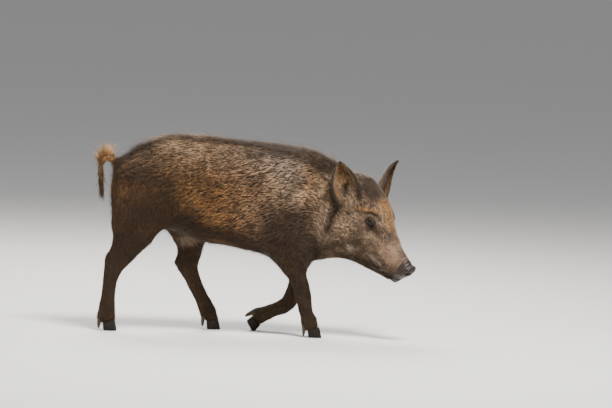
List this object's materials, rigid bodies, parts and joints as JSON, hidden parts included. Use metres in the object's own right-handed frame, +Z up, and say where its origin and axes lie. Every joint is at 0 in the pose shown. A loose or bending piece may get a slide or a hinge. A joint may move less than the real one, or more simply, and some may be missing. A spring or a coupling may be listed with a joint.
{
  "type": "wild boar",
  "caption": "Life-size still model of a young wild boar walking, head low and turned to its right, with a short bristly brown coat.",
  "frame": {"origin": "on the floor, under the middle of the model's box", "axes": "+X the way the boar walks, +Y to its left, +Z up"},
  "size_m": [1.0012, 0.2828, 0.6201],
  "materials": {
    "coat": "short bristly coat",
    "bare_skin": "bare grey-brown skin",
    "eye": "wet dark brown",
    "horn": "dull dark horn",
    "pale_horn": "dull pale horn",
    "tail_hair": "long ginger hair"
  },
  "bodies": {
    "root": {"trunk": "coat", "eye_right": "eye", "ear_right": "coat", "eye_left": "eye", "ear_left": "coat", "neck": "coat", "head": "coat", "muzzle": "coat", "snout": "bare_skin", "thigh_hind_right": "coat", "shank_hind_right": "coat", "cannon_hind_right": "coat", "foot_hind_right": "coat", "hoof_inner_hind_right": "horn", "dew_claw_inner_hind_right": "pale_horn", "hoof_outer_hind_right": "horn", "dew_claw_outer_hind_right": "pale_horn", "thigh_hind_left": "coat", "shank_hind_left": "coat", "cannon_hind_left": "coat", "foot_hind_left": "coat", "hoof_inner_hind_left": "horn", "dew_claw_inner_hind_left": "pale_horn", "hoof_outer_hind_left": "horn", "dew_claw_outer_hind_left": "pale_horn", "forearm_fore_right": "coat", "cannon_fore_right": "coat", "foot_fore_right": "coat", "hoof_inner_fore_right": "horn", "dew_claw_inner_fore_right": "pale_horn", "hoof_outer_fore_right": "horn", "dew_claw_outer_fore_right": "pale_horn", "forearm_fore_left": "coat", "cannon_fore_left": "coat", "foot_fore_left": "coat", "hoof_inner_fore_left": "horn", "dew_claw_inner_fore_left": "pale_horn", "hoof_outer_fore_left": "horn", "dew_claw_outer_fore_left": "pale_horn", "tail": "coat", "tail_tuft": "tail_hair"}
  },
  "joints": []
}
